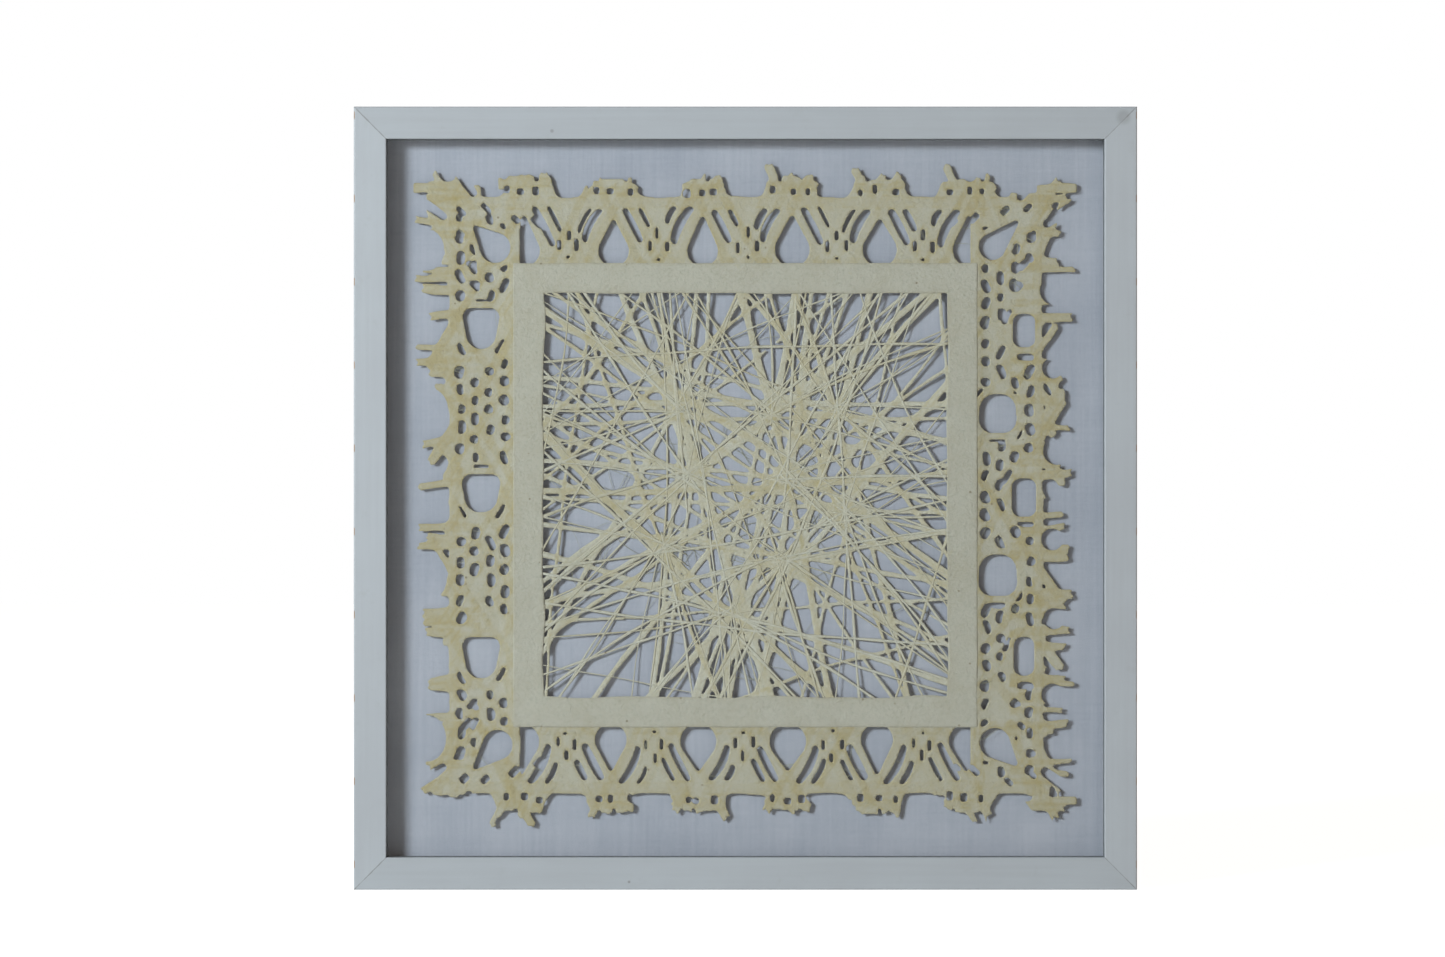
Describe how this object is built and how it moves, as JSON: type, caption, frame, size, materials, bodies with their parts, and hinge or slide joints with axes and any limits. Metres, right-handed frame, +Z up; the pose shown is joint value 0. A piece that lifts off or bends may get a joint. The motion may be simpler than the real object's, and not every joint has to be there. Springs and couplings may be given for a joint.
{
  "type": "paper cut shadow box",
  "caption": "Square painted wooden shadow box, glazed, with a felted paper openwork sheet floated on a linen ground.",
  "frame": {"origin": "middle of the footprint: centre of the width and depth, at the lower edge of the frame", "axes": "+X to the right seen from the front, +Y into the wall, +Z up; the pane faces -Y"},
  "size_m": [0.8, 0.038, 0.8],
  "materials": {
    "frame_paint": "satin paint over wood",
    "steel": "bright",
    "plated_steel": "zinc plated",
    "pane": "clear",
    "spacer": "matt",
    "foam_board": "matt",
    "linen": "plain weave",
    "fibre_paper": "felted, matt",
    "hardboard": "smooth, matt"
  },
  "bodies": {
    "root": {"frame_top_rail": "frame_paint", "frame_bottom_rail": "frame_paint", "frame_left_stile": "frame_paint", "frame_right_stile": "frame_paint", "corner_v_nails": "steel", "glazing_pane": "pane", "spacer_top": "spacer", "spacer_bottom": "spacer", "spacer_left": "spacer", "spacer_right": "spacer", "mount_board": "foam_board", "linen_cover": "linen", "openwork_paper": "fibre_paper", "riser_top": "foam_board", "riser_bottom": "foam_board", "riser_left": "foam_board", "riser_right": "foam_board", "back_board": "hardboard", "framer_points": "steel", "hanger_plates": "plated_steel", "hanger_screws": "plated_steel"}
  },
  "joints": []
}
